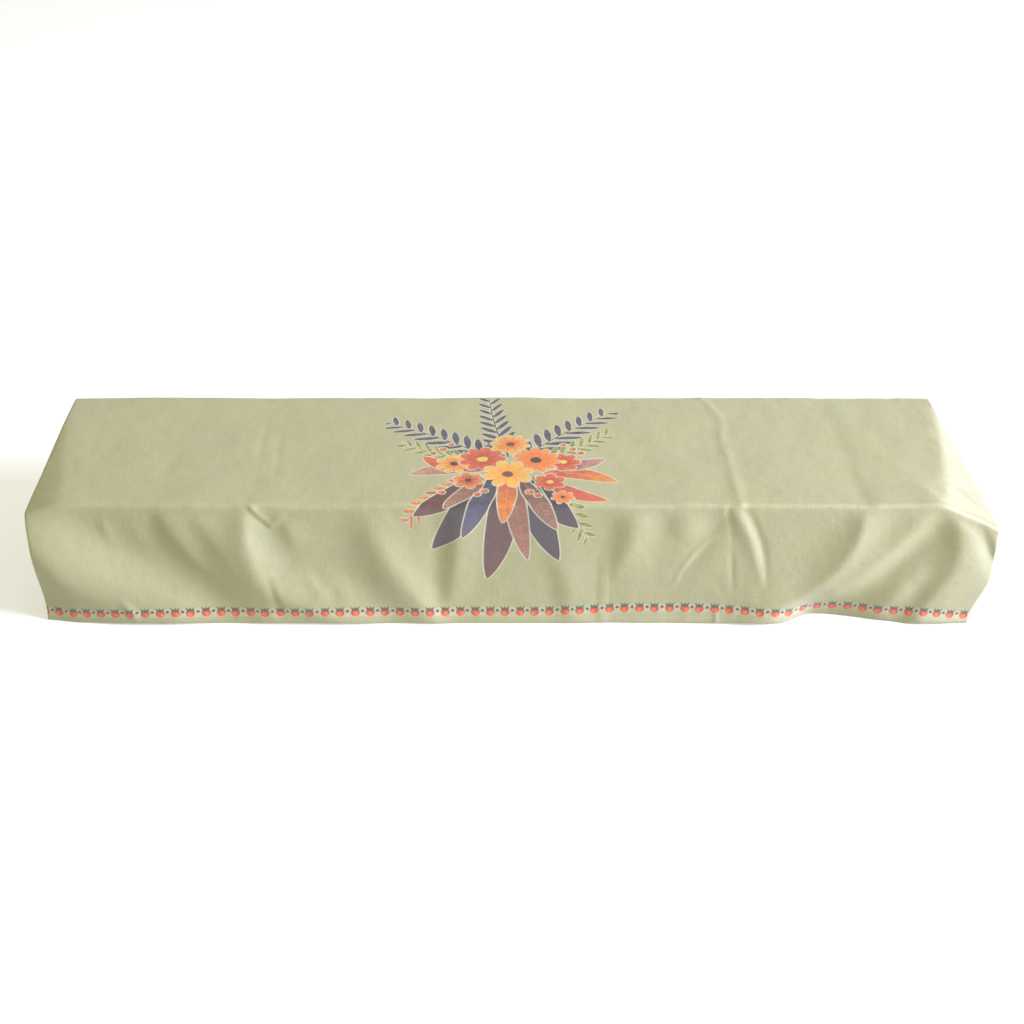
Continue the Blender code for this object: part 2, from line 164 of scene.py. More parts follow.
backFolds = table(
    foldLabels,
    ("back 1", (-0.62, 0.01), (-0.6, 0.11), (-0.54, 0.2),
     (0.05, 0.07), (0.045, 0.06), (0.0, 0.008, 0.007), 0.3),
    ("back 2", (-0.43, 0.005), (-0.445, 0.1), (-0.48, 0.2),
     (0.04, 0.06), (0.05, 0.07), (0.0, -0.006, -0.007), 0.4),
    ("back 3", (-0.235, 0.005), (-0.22, 0.11), (-0.18, 0.2),
     (0.035, 0.06), (0.045, 0.055), (0.0, 0.007, 0.006), 0.3),
    ("back 4", (-0.02, 0.01), (-0.03, 0.09), (-0.02, 0.2),
     (0.04, 0.06), (0.04, 0.06), (0.0, -0.005, -0.007), 0.4),
    ("back 5", (0.17, 0.005), (0.16, 0.11), (0.11, 0.2),
     (0.045, 0.07), (0.035, 0.05), (0.0, 0.007, 0.006), 0.3),
    ("back 6", (0.335, 0.0), (0.35, 0.1), (0.4, 0.2),
     (0.03, 0.06), (0.04, 0.06), (0.0, 0.008, 0.007), 0.2),
    ("back 7", (0.52, 0.005), (0.505, 0.1), (0.5, 0.2),
     (0.05, 0.06), (0.035, 0.06), (0.0, -0.007, -0.008), 0.3),
    ("back 8", (0.65, 0.01), (0.64, 0.1), (0.6, 0.2),
     (0.04, 0.06), (0.04, 0.06), (0.0, 0.008, 0.007), 0.3),
)

topFolds = table(
    foldLabels,
    ("top ridge to the notch", (0.343, 0.002), (0.34, 0.1), (0.335, 0.206),
     (0.015, 0.013), (0.014, 0.012), (0.0016, 0.0012, 0.0008), 0.25),
    ("its far half", (0.334, 0.198), (0.337, 0.264), (0.308, 0.334),
     (0.014, 0.012), 0.012, (0.0002, 0.0011, 0.0009), 0.25),
    ("top trough to the curved ridge", (0.524, 0.0), (0.5125, 0.15), (0.507, 0.33),
     (0.03, 0.022), (0.02, 0.022), (-0.0017, -0.0009, -0.0004), 0.3),
    ("top ridge to the right corner", (0.626, 0.005), (0.612, 0.05), (0.592, 0.11),
     0.026, 0.02, (0.0014, 0.0009, 0.0002), 0.3),
    ("top hollow on the left", (-0.3, 0.03), (-0.33, 0.12), (-0.36, 0.26),
     (0.07, 0.06), (0.07, 0.06), (-0.0012, -0.001, -0.0006), 0.5),
    ("top rise in the middle", (-0.06, 0.12), (0.06, 0.16), (0.2, 0.18),
     0.08, 0.08, (0.0008, 0.0014, 0.001), 0.5),
)

leftFolds = table(
    foldLabels,
    ("left end 1", (0.06, 0.03), (0.07, 0.11), (0.09, 0.206),
     (0.03, 0.04), (0.03, 0.045), (0.0, 0.006, 0.008), 0.3),
    ("left end 2", (0.17, 0.02), (0.16, 0.11), (0.165, 0.206),
     (0.04, 0.045), (0.035, 0.04), (0.0, -0.006, -0.008), 0.4),
    ("left end 3", (0.275, 0.03), (0.262, 0.11), (0.24, 0.206),
     (0.03, 0.04), (0.03, 0.04), (0.0, 0.006, 0.007), 0.3),
)

rightFolds = table(
    foldLabels,
    ("right end 1", (0.05, 0.04), (0.07, 0.11), (0.105, 0.206),
     (0.03, 0.045), (0.028, 0.04), (0.0, 0.009, 0.01), 0.25),
    ("right end 2", (0.15, 0.03), (0.165, 0.1), (0.17, 0.206),
     (0.035, 0.045), (0.035, 0.04), (0.0, -0.007, -0.009), 0.4),
    ("right end 3", (0.285, 0.03), (0.262, 0.11), (0.225, 0.206),
     (0.03, 0.04), (0.032, 0.045), (0.0, 0.008, 0.009), 0.3),
)

# Fine creases, too small for the solids
frontCreases = table(
    foldLabels,
    ("pinch, left arm", (-0.366, -0.004), (-0.352, 0.015), (-0.335, 0.033),
     (0.006, 0.005), (0.006, 0.004), (0.0015, 0.003, 0.0016), 0.2),
    ("pinch, hollow", (-0.364, 0.01), (-0.349, 0.026), (-0.334, 0.04),
     0.006, 0.007, (-0.0006, -0.0012, -0.0008), 0.3),
    ("pinch, right arm", (-0.334, 0.034), (-0.326, 0.027), (-0.316, 0.018),
     0.005, 0.006, (0.0018, 0.0016, 0.0006), 0.2),
    ("dent at the left", (-0.58, 0.026), (-0.576, 0.048), (-0.57, 0.07),
     0.008, 0.012, (0.0006, 0.0014, 0.0004), 0.3),
    ("second dent at the left", (-0.54, 0.028), (-0.534, 0.048), (-0.526, 0.07),
     (0.012, 0.01), 0.016, (0.0002, 0.0007, 0.0002), 0.4),
    ("nick by the left hem", (-0.558, 0.166), (-0.553, 0.18), (-0.546, 0.196),
     (0.012, 0.008), (0.006, 0.008), (0.0012, 0.0038, 0.0018), 0.2),
    ("crease above the hem", (-0.342, 0.13), (-0.336, 0.156), (-0.328, 0.186),
     0.014, (0.007, 0.009), (-0.001, -0.0024, -0.0016), 0.25),
    ("forked crease", (-0.284, 0.12), (-0.272, 0.142), (-0.26, 0.166),
     (0.016, 0.014), 0.005, (0.0004, 0.0012, 0.0004), 0.25),
    ("forked crease, short arm", (-0.255, 0.136), (-0.264, 0.148), (-0.271, 0.158),
     0.01, 0.005, (0.0004, 0.0009, 0.0003), 0.25),
    ("puffed patch", (-0.246, 0.136), (-0.236, 0.154), (-0.226, 0.176),
     0.014, 0.018, (0.0006, 0.0014, 0.0006), 0.35),
    ("upright crease", (0.149, 0.085), (0.1505, 0.14), (0.1508, 0.206),
     0.006, 0.0045, (0.0006, 0.0018, 0.0018), 0.2),
    ("bright thread from the notch", (0.322, 0.044), (0.281, 0.084), (0.254, 0.138),
     (0.009, 0.007), 0.005, (0.0003, 0.0015, 0.0005), 0.15),
    ("short crease under the notch", (0.334, 0.082), (0.337, 0.104), (0.34, 0.142),
     0.006, 0.006, (-0.0003, -0.0012, -0.0006), 0.3),
    ("hollow under the notch", (0.324, 0.006), (0.331, 0.038), (0.336, 0.072),
     0.006, 0.01, (-0.0012, -0.0009, -0.0003), 0.3),
    ("trough beside the sharp ridge", (0.352, 0.01), (0.378, 0.07), (0.389, 0.136),
     (0.008, 0.006), 0.01, (-0.001, -0.0016, -0.0006), 0.25),
    ("wrinkle through the hem", (0.318, 0.18), (0.3186, 0.193), (0.319, 0.208),
     0.004, 0.004, (0.0004, 0.0014, 0.0014), 0.2),
    ("lip of the notch", (0.322, 0.002), (0.333, -0.01), (0.346, 0.0),
     0.008, 0.008, (0.001, 0.0026, 0.0012), 0.3),
)

topCreases = table(
    foldLabels,
    ("top crease 1", (-0.367, 0.26), (-0.366, 0.18), (-0.365, 0.1),
     0.007, 0.009, (-0.0002, -0.0005, -0.0002), 0.2),
    ("top crease 2", (-0.341, 0.222), (-0.338, 0.15), (-0.334, 0.07),
     0.007, 0.009, (-0.0002, -0.0005, -0.0003), 0.2),
    ("top crease 3", (-0.622, 0.245), (-0.622, 0.2), (-0.6215, 0.156),
     0.007, 0.009, (-0.0001, -0.0004, -0.0001), 0.2),
    ("top crease 4", (-0.659, 0.154), (-0.644, 0.126), (-0.63, 0.098),
     0.007, 0.008, (-0.0002, -0.0006, -0.0002), 0.2),
    ("top crease 5", (-0.488, 0.154), (-0.496, 0.118), (-0.504, 0.084),
     0.01, 0.012, (-0.0002, -0.0007, -0.0002), 0.3),
    ("top puff 1", (-0.436, 0.018), (-0.434, 0.045), (-0.428, 0.082),
     0.05, 0.046, (0.0004, 0.0015, 0.0004), 0.4),
    ("top puff 2", (-0.332, 0.022), (-0.33, 0.048), (-0.326, 0.082),
     0.05, 0.046, (0.0004, 0.0014, 0.0004), 0.4),
)

# Where the top starts to slope at an end, at its front and at its back, and how steeply
Slope = namedtuple("Slope", "bendFront bendBack steepness")
leftSlope = Slope(-0.638, -0.692, 0.28)
rightSlope = Slope(0.633, 0.712, 0.57)

# How far an end stands out at its four corners, and the share of the drop where it turns in
Flare = namedtuple("Flare", "frontTop frontHem backTop backHem turn")
leftFlare = Flare(0.003, -0.003, -0.003, -0.01, 0.0)
rightFlare = Flare(0.016, -0.008, -0.026, -0.03, 0.45)


def fade(ratio):  # 1 at 0 and before it, 0 at 1 and past it
    held = np.clip(ratio, 0.0, 1.0)
    return 1.0 - held * held * (3.0 - 2.0 * held)


def blend(start, end, share):
    return start + (end - start) * share


foldSteps = 60  # points along a fold's line
foldFringe = 2.2  # past this many times its width, a fold has died away


def foldRise(fold, across, down):
    start, middle, end = (np.array(point) for point in (fold.start, fold.middle, fold.end))
    handle = 2.0 * middle - 0.5 * (start + end)  # so that the line runs through the middle
    share = np.linspace(0.0, 1.0, foldSteps)[:, None]
    line = (1 - share) ** 2 * start + 2 * share * (1 - share) * handle + share ** 2 * end
    heading = 2 * (1 - share) * (handle - start) + 2 * share * (end - handle)
    heading /= np.linalg.norm(heading, axis=1)[:, None]

    rise = np.zeros(len(across))
    leftWidths, rightWidths = np.broadcast_to(fold.left, 2), np.broadcast_to(fold.right, 2)
    reach = foldFringe * max(*leftWidths, *rightWidths)
    low, high = line.min(axis=0) - reach, line.max(axis=0) + reach
    close = (across > low[0]) & (across < high[0]) & (down > low[1]) & (down < high[1])
    points = np.stack((across[close], down[close]), axis=1)
    if not len(points):
        return rise

    apart = np.linalg.norm(points[:, None, :] - line[None, :, :], axis=2)
    near = np.argmin(apart, axis=1)
    offset = points - line[near]
    aside = offset[:, 0] * heading[near, 1] - offset[:, 1] * heading[near, 0]
    beyond = (offset * heading[near]).sum(axis=1)
    beyond = np.where((near == 0) | (near == len(line) - 1), beyond, 0.0)
    at = share[near, 0]
    left = blend(*leftWidths, at)
    right = blend(*rightWidths, at)
    ratio = np.hypot(aside / np.where(aside < 0.0, left, right), fold.soft) - fold.soft
    flank = np.clip(1.0 - ratio, 0.0, None) ** 2
    cap = np.exp(-(beyond / (0.5 * (left + right))) ** 2)
    first, half, last = fold.rise
    height = first * (1 - at) * (1 - 2 * at) + 4 * half * at * (1 - at) + last * at * (2 * at - 1)
    rise[close] = height * flank * cap
    return rise


def foldsRise(folds, across, down):
    return sum(foldRise(fold, across, down) for fold in folds)


def endSlope(slope, outward, back):  # how far the top has sloped down past a keyboard's end
    past = outward - blend(abs(slope.bendFront), abs(slope.bendBack), back)
    return slope.steepness * 0.5 * (past + np.hypot(past, cover["bendRounding"]))


def endFlare(flare, back, down):
    turn = fade((down - flare.turn) / (1.0 - flare.turn))
    front = blend(flare.frontHem, flare.frontTop, turn)
    rear = blend(flare.backHem, flare.backTop, turn)
    return blend(front, rear, back)


def swells(points):  # slow noise with finer noise on it, the same on every run
    size = cover["unevenSize"]
    decay, gap, layers = 1.0, 2.3, 3
    return np.array([noise.fractal(Vector(point) / size, decay, gap, layers) for point in points])


def ripples(around, drop):  # what the stitching draws into the cloth near it
    grip = fade(np.abs(drop - cover["drop"] + cover["hemHeight"]) / cover["puckerReach"])
    drift = cover["puckerDrift"] * np.sin(around / cover["puckerDriftLength"])
    return cover["pucker"] * grip * np.sin(2 * math.pi * around / cover["puckerLength"] + drift)


def drape(x, y, z):
    behind = y + halfDepth
    back = np.clip(behind / cover["depth"], 0.0, 1.0)
    drop = np.clip(cover["topHeight"] - z, 0.0, None)
    down = drop / cover["drop"]
    atFront = fade(behind / cover["foldReach"])
    atBack = fade((cover["depth"] - behind) / cover["foldReach"])
    atTop = fade(drop / cover["topReach"])
    atLeft = fade((x - cover["leftEnd"]) / cover["endReach"])
    atRight = fade((cover["rightEnd"] - x) / cover["endReach"])

    free = 1.0 - cover["edgeHold"] * fade(drop / cover["edgeHoldReach"])
    pucker = ripples(x + y, drop)
    kick = cover["hemKick"] * fade((cover["drop"] - drop) / cover["hemKickHeight"])
    swell = cover["unevenness"] * swells(np.stack((x, y, z), axis=1))
    frontRise = free * foldsRise(frontFolds, x, drop) + foldsRise(frontCreases, x, drop)
    movedY = y - atFront * (frontRise + kick + pucker + swell * down)
    movedY += atBack * (free * foldsRise(backFolds, x, drop) + kick + pucker + swell * down)

    leftOut = endFlare(leftFlare, back, down) + foldsRise(leftFolds, behind, drop)
    rightOut = endFlare(rightFlare, back, down) + foldsRise(rightFolds, behind, drop)
    movedX = x - atLeft * (leftOut + pucker) + atRight * (rightOut + pucker)

    sloped = endSlope(leftSlope, -x, back) + endSlope(rightSlope, x, back)
    topRise = foldsRise(topFolds, x, behind) + foldsRise(topCreases, x, behind) + swell
    lift = cover["hemLift"] * atFront * np.clip(frontRise, 0.0, None) * down ** 3
    movedZ = z - sloped * (1.0 - down) + atTop * topRise + lift
    return np.stack((movedX, movedY, movedZ), axis=1)


def hemBend(along):  # the angle turned round the hem's lower edge, and the height there
    turn = cover["hemTurn"]
    angle = np.clip(-along / turn, 0.0, math.pi)
    return angle, hemFoot + turn - turn * np.sin(angle) + np.clip(-along - turnLength, 0.0, None)


def seamRoll(toSeam):  # how far the cloth rolls in near an end seam
    return cover["seamRoll"] * np.clip(1.0 - toSeam / cover["seamRollWidth"], 0.0, 1.0) ** 2


def sectionPoint(run, inset):
    # run goes from the front hem's edge over the top to the back hem's edge, and past
    # either edge into the turned-up hem
    side = np.where(run < halfRun, -1.0, 1.0)
    along = halfRun - np.abs(run - halfRun)
    radius = cover["edgeRadius"]
    turn = cover["hemTurn"]
    corner = halfDepth - radius

    wallY = halfDepth - inset
    wallZ = hemFoot + turn + along
    bendAngle, hemZ = hemBend(along)
    hemY = halfDepth - turn + (turn - inset) * np.cos(bendAngle)
    arcAngle = np.clip((along - wallLength) / radius, 0.0, math.pi / 2)
    arcY = corner + (radius - inset) * np.cos(arcAngle)
    arcZ = cover["topHeight"] - radius + (radius - inset) * np.sin(arcAngle)
    topY = corner - (along - wallLength - arcLength)
    topZ = cover["topHeight"] - inset

    places = [along < 0.0, along < wallLength, along < wallLength + arcLength]
    y = side * np.select(places, [hemY, wallY, arcY], topY)
    z = np.select(places, [hemZ, wallZ, arcZ], topZ)
    return y, z


def spread(spans):  # places from a table of (start, end, spacing)
    places = []
    for start, end, spacing in spans:
        count = max(1, round((end - start) / spacing))
        places += [blend(start, end, step / count) for step in range(count)]
    places.append(spans[-1][1])
    return np.array(places)


hemSpacing = {"flap": 0.0045, "bend": 0.001}


def hemRuns():  # from the turned-up hem's upper edge down and round to the cloth's lower edge, at 0
    flapTop = -turnLength - cover["hemHeight"]
    runs = spread(((flapTop, -turnLength, hemSpacing["flap"]),
                   (-turnLength, 0.0, hemSpacing["bend"])))
    return runs[:-1]


def gridSheet(name, columns, rows):
    # a flat grid whose points are then moved; returns it with each point's column and row
    mesh = bpy.data.meshes.new(name)
    sheetMesh = bmesh.new()
    bmesh.ops.create_grid(sheetMesh, x_segments=columns - 1, y_segments=rows - 1, size=0.5)
    sheetMesh.to_mesh(mesh)
    sheetMesh.free()
    flat = np.zeros(len(mesh.vertices) * 3)
    mesh.vertices.foreach_get("co", flat)
    share = flat.reshape(-1, 3)[:, :2] + 0.5
    column = np.rint(share[:, 0] * (columns - 1)).astype(int)
    row = np.rint(share[:, 1] * (rows - 1)).astype(int)
    return mesh, column, row


def addThing(name, data):
    thing = bpy.data.objects.new(name, data)
    bpy.context.collection.objects.link(thing)
    return thing


def finishSheet(mesh, point, clothPlace, printPlace, materials):
    mesh.vertices.foreach_set("co", drape(*point).astype(np.float32).ravel())
    corner = np.zeros(len(mesh.loops), int)
    mesh.loops.foreach_get("vertex_index", corner)
    for label, place in (("cloth", clothPlace), ("print", printPlace)):
        layer = mesh.uv_layers.new(name=label)
        place = np.stack(place, axis=1)[corner]
        layer.uv.foreach_set("vector", place.astype(np.float32).ravel())
    for material in materials:
        mesh.materials.append(material)
    mesh.shade_smooth()
    mesh.update()
    piece = addThing(mesh.name, mesh)
    thickness = piece.modifiers.new("cloth thickness", "SOLIDIFY")
    thickness.thickness = cover["cloth"]
    thickness.offset = -1.0
    return piece


# How far the printed border sits lower than its usual place, as the hem was turned up
# unevenly: (place along the cover, metres)
borderShift = (
    (-0.7, 0.004), (-0.5, 0.0025), (-0.25, 0.0005), (-0.02, 0.001), (0.1, 0.0),
    (0.17, -0.0055), (0.33, -0.0055), (0.41, 0.004), (0.47, 0.0), (0.6, -0.0005), (0.72, 0.005),
)
shiftHeight = 0.08  # the shift is whole up to half this height, and gone a whole one above that


def shiftAt(x):
    steps, window = 200, 13
    places, shifts = zip(*borderShift)
    fine = np.linspace(places[0], places[-1], steps)
    rough = np.pad(np.interp(fine, places, shifts), window // 2, mode="edge")
    smooth = np.convolve(rough, np.ones(window) / window, mode="valid")
    return np.interp(x, fine, smooth)


def printHeight(x, height):  # height in the print, which sags by the shift near the hem
    return height + shiftAt(x) * fade(height / shiftHeight - 0.5)


mainSheet = {
    "columns": (
        (cover["leftEnd"], -0.42, 0.0055), (-0.42, -0.28, 0.0036), (-0.28, 0.23, 0.0062),
        (0.23, 0.42, 0.0033), (0.42, cover["rightEnd"], 0.0046),
    ),
    "seamColumns": (0.0008, 0.0016, 0.0026, 0.004),  # how far the first ones are from a seam
    "wallSpacing": 0.0046,
    "edgeSpacing": 0.0025,
    "topSpacing": 0.007,
    "backEdgeSpacing": 0.003,
    "backSpacing": 0.009,
    "printBox": (-0.185, 0.185, 0.05, 0.545),  # x from and to, run from and to
}


def buildMainSheet(plainCloth, printedCloth):
    size = mainSheet
    length = 2 * halfRun
    arcEnd = wallLength + arcLength
    nearSeam = np.array(size["seamColumns"])
    columns = spread(size["columns"])
    columns = np.concatenate((columns[:1], columns[0] + nearSeam, columns[1:-1],
                              columns[-1] - nearSeam[::-1], columns[-1:]))
    hem = hemRuns()
    runs = np.concatenate((
        hem,
        spread(((0.0, wallLength, size["wallSpacing"]),
                (wallLength, arcEnd, size["edgeSpacing"]),
                (arcEnd, length - arcEnd, size["topSpacing"]),
                (length - arcEnd, length - wallLength, size["backEdgeSpacing"]),
                (length - wallLength, length, size["backSpacing"]))),
        length - hem[::-1],
    ))
    mesh, column, row = gridSheet("coverMain", len(columns), len(runs))
    x, run = columns[column], runs[row]
    y, z = sectionPoint(run, seamRoll(np.minimum(x - cover["leftEnd"], cover["rightEnd"] - x)))
    height = np.minimum(run, length - run)  # the border follows whichever hem is nearer
    piece = finishSheet(mesh, (x, y, z), (x, run), (x, printHeight(x, height)),
                        (plainCloth, printedCloth))

    left, right, low, high = size["printBox"]
    inPrint = (x > left) & (x < right) & (run > low) & (run < high)
    for face in mesh.polygons:
        face.material_index = int(inPrint[list(face.vertices)].all())
    return piece


endSheet = {
    "columnSpacing": 0.0052,
    "edgeColumns": 5,  # over each rounded edge of the top
    "rowSpacing": 0.026,  # as a share of the end's height
}


def buildEndSheet(name, seamX, outward, material):
    # columns run along the depth so that the outside faces outwards, rows run up
    size = endSheet
    rim = cover["cloth"] + cover["seamGap"]
    halfInside = halfDepth - rim
    radius = cover["edgeRadius"] - rim
    flat = halfInside - radius
    overEdge = np.sin(np.linspace(0.0, math.pi / 2, size["edgeColumns"] + 1))[1:] * radius
    middle = spread(((-flat, flat, size["columnSpacing"]),))
    depths = np.concatenate((-flat - overEdge[::-1], middle, flat + overEdge)) * outward
    rises = np.concatenate((hemRuns(), spread(((0.0, 1.0, size["rowSpacing"]),))))
    mesh, column, row = gridSheet(name, len(depths), len(rises))
    y, rise = depths[column], rises[row]

    overArc = np.clip(np.abs(y) - flat, 0.0, radius)
    crown = cover["topHeight"] - rim - radius + np.sqrt(radius ** 2 - overArc ** 2)
    turn = cover["hemTurn"]
    inHem = rise < 0.0
    bendAngle, hemZ = hemBend(rise)
    z = np.where(inHem, hemZ, blend(hemFoot + turn, crown, rise))
    x = seamX - outward * np.where(inHem, turn * (1 - np.cos(bendAngle)), 0.0)
    x = x - outward * seamRoll(np.minimum(halfInside - np.abs(y), np.clip(crown - z, 0.0, None)))
    up = np.where(inHem, rise, z - hemFoot - turn)
    along = seamX + outward * (y + halfDepth)  # so the border carries on round the front corner
    return finishSheet(mesh, (x, y, z), (along, up), (along, printHeight(seamX, up)), (material,))


def ink(red, green, blue):  # a colour as paint programs show it, 0 to 255
    return tuple(((part / 255 + 0.055) / 1.055) ** 2.4 for part in (red, green, blue)) + (1.0,)


def plug(tree, slot, value):
    if isinstance(value, Number):
        tree.links.new(value.socket, slot)
    elif isinstance(value, bpy.types.NodeSocket):
        tree.links.new(value, slot)
    else:
        slot.default_value = value


def plugAll(tree, node, values):
    for label, value in values.items():
        plug(tree, node.inputs[label], value)


def newNode(tree, kind, values=None, **settings):
    node = tree.nodes.new("ShaderNode" + kind)
    for label, value in settings.items():
        setattr(node, label, value)
    plugAll(tree, node, values or {})
    return node


class Number:
    # a node's output that can be used in plain arithmetic; each step adds one Math node
    def __init__(self, tree, socket):
        self.tree = tree
        self.socket = socket

    def calc(self, operation, *others):
        values = dict(enumerate((self, *others)))
        node = newNode(self.tree, "Math", values, operation=operation)
        return Number(self.tree, node.outputs[0])

    __add__ = partialmethod(calc, "ADD")
    __sub__ = partialmethod(calc, "SUBTRACT")
    __mul__ = partialmethod(calc, "MULTIPLY")
    __truediv__ = partialmethod(calc, "DIVIDE")
    __pow__ = partialmethod(calc, "POWER")
    __abs__ = partialmethod(calc, "ABSOLUTE")

    def __rsub__(self, other):
        return self * -1.0 + other

    def share(self, width):  # 1 where the number is above width, 0 below 0, even in between
        node = newNode(self.tree, "Clamp")
        plug(self.tree, node.inputs["Value"], self / width)
        return Number(self.tree, node.outputs[0])


def mixColour(tree, under, over, share, mode="MIX"):
    underSlot, overSlot, mixed = 6, 7, 2  # a Mix node's slots for colours, by number
    values = {"Factor": share, underSlot: under, overSlot: over}
    return newNode(tree, "Mix", values, data_type="RGBA", blend_type=mode).outputs[mixed]


def grain(tree, layer, lump, detail=2.0):  # noise with lumps of the given width and length
    source = newNode(tree, "UVMap", uv_map=layer)
    scale = (1 / lump[0], 1 / lump[1], 1.0)
    scaled = newNode(tree, "Mapping", {"Vector": source.outputs[0], "Scale": scale})
    values = {"Vector": scaled.outputs[0], "Scale": 1.0, "Detail": detail}
    texture = newNode(tree, "TexNoise", values, noise_dimensions="2D")
    return Number(tree, texture.outputs["Fac"])


def mapPlace(tree, layer):
    source = newNode(tree, "UVMap", uv_map=layer)
    split = newNode(tree, "SeparateXYZ", {"Vector": source.outputs[0]})
    return Number(tree, split.outputs[0]), Number(tree, split.outputs[1])


def distance(right, up):
    return (right * right + up * up).calc("SQRT")


border = {
    "pitch": 0.0223,
    "start": 0.0038,  # where along the cover a fruit stands
    "height": 0.018,  # the fruits' middle above the hem's edge
    "strayAlong": 0.0012,  # how unevenly the fruits stand
    "strayUp": 0.0008,
    "fruitWidth": 0.0142,
    "fruitHeight": 0.0134,
    "fruitRim": 0.12,  # its soft edge, as a share of its radius, as are the light's sizes
    "lightDrop": 0.3,
    "lightReach": 0.62,
    "lightStray": 0.8,
    "crownHeight": 0.0086,
    "crownBase": 0.0026,  # where the crown starts, above the fruit's middle
    "spikeWidth": 0.0092,
    "spikeSpread": 0.0068,
    "spikeEdge": 0.0008,
    "dotSize": 0.0056,
    "dotRise": 0.0028,
    "dotEdge": 0.0007,
    "groundRise": 0.001,  # the pale ground's middle, above the fruits'
    "groundHeight": 0.01,  # it reaches this far above and below
    "groundEdge": 0.005,
    "blotch": (0.006, 0.006),
    "fruit": ink(228, 70, 26),
    "fruitEdge": ink(170, 36, 20),
    "fruitLight": ink(255, 140, 56),
    "crown": ink(50, 52, 10),
    "crownTip": ink(84, 140, 48),
    "dot": ink(34, 30, 10),
    "ground": ink(228, 222, 190),
}


def addBorder(tree, colour):
    u, height = mapPlace(tree, "print")
    size = border
    half = size["pitch"] / 2
    u = u - size["start"]
    cell = (u / size["pitch"] + 0.5).calc("FLOOR")
    random = newNode(tree, "TexWhiteNoise", {"W": cell}, noise_dimensions="1D")
    odd = Number(tree, random.outputs["Value"]) - 0.5  # each fruit's own number
    across = u.calc("WRAP", half, -half) + odd * size["strayAlong"]
    rise = height - size["height"] + odd * size["strayUp"]

    blotches = grain(tree, "print", size["blotch"])
    ground = (size["groundHeight"] - abs(rise - size["groundRise"])).share(size["groundEdge"])
    colour = mixColour(tree, colour, size["ground"], ground * (blotches - 0.15).share(0.9))

    fruitX = across / (size["fruitWidth"] / 2)
    fruitY = rise / (size["fruitHeight"] / 2)
    roundness = distance(fruitX, fruitY)
    darkness = (roundness + fruitY * 0.25 - 0.5).share(0.6)
    fruit = mixColour(tree, size["fruit"], size["fruitEdge"], darkness)
    lightX, lightY = fruitX + odd * size["lightStray"], fruitY + size["lightDrop"]
    light = (size["lightReach"] - distance(lightX, lightY)).share(0.5)
    fruit = mixColour(tree, fruit, size["fruitLight"], light * 0.9)
    colour = mixColour(tree, colour, fruit, (1.0 - roundness).share(size["fruitRim"]))

    climb = (rise - size["crownBase"]) / size["crownHeight"]
    crown = climb * 0.0
    for lean in (-1.0, 0.0, 1.0):
        beside = abs(across - climb * (lean * size["spikeSpread"]))
        spike = ((1.1 - climb) * (size["spikeWidth"] / 2) - beside).share(size["spikeEdge"])
        crown = crown.calc("MAXIMUM", spike)
    crown = crown * climb.share(0.08)
    green = mixColour(tree, size["crown"], size["crownTip"], (climb + blotches * 0.9 - 0.7).share(0.8))
    colour = mixColour(tree, colour, green, crown)

    dot = size["dotSize"] / 2 - distance((u + half).calc("WRAP", half, -half), rise - size["dotRise"])
    return mixColour(tree, colour, size["dot"], dot.share(size["dotEdge"]) * 0.95)


paints = ("under", "deep", "pale", "heart")


def newGroup(name, motifs):
    # a node group that paints one motif over the colour given to it
    tree = bpy.data.node_groups.new(name, "ShaderNodeTree")
    labels = ("under", "x", "y", *motifs[0]._fields)
    for label in labels:
        kind = "NodeSocketColor" if label in paints else "NodeSocketFloat"
        tree.interface.new_socket(label, in_out="INPUT", socket_type=kind)
    tree.interface.new_socket("painted", in_out="OUTPUT", socket_type="NodeSocketColor")
    outlets = tree.nodes.new("NodeGroupInput").outputs
    given = {label: outlets[label] if label in paints else Number(tree, outlets[label])
             for label in labels}
    return tree, SimpleNamespace(**given), tree.nodes.new("NodeGroupOutput").inputs["painted"]


def motifOffset(given):
    return given.x - given.placeX, given.y - given.placeY


def localPlace(given):  # along and across a motif that stands at placeX, placeY, turned
    right, up = motifOffset(given)
    cosine, sine = given.turn.calc("COSINE"), given.turn.calc("SINE")
    return right * cosine + up * sine, up * cosine - right * sine


motifLook = {
    "outline": ink(228, 220, 188),
    "outlineWidth": 0.0022,
    "edge": 0.0007,
    "leafWash": (0.012, 0.012),
    "sprigWash": (0.01, 0.01),
    "flowerWash": (0.009, 0.009),
    "washDetail": 3.0,
    "leafFullness": 0.75,
    "sprigFullness": 0.6,
    "petalFullness": 0.55,
    "slant": 0.9,  # of veins and of a sprig's leaves
    "veins": 900.0,  # a sine wave, in radians a metre
    "streaks": 10.0,  # twice as many as on one petal
    "midribWidth": 0.0009,
    "midribEdge": 0.0006,
    "stemWidth": 0.0017,
    "stemEnd": 0.002,
    "taper": -0.45,  # how much smaller a sprig's leaves are at its tip
    "heartSize": 0.24,  # as a share of the flower's radius
    "heartFray": 0.004,
    "heartEdge": 0.0012,
}


def paint(tree, given, result, colour, inside, outlined=0.75):
    # inside is how deep a point lies in the motif, in metres
    outline = (inside + motifLook["outlineWidth"]).share(motifLook["edge"])
    under = mixColour(tree, given.under, motifLook["outline"], outline * outlined)
    tree.links.new(mixColour(tree, under, colour, inside.share(motifLook["edge"])), result)


def bladeDepth(along, across, length, width, power):
    share = along / length
    belly = share * (1.0 - share) * 4.0
    profile = belly.calc("MAXIMUM", 0.0) ** power + belly.calc("MINIMUM", 0.0) * 3.0
    return profile * width - abs(across), share


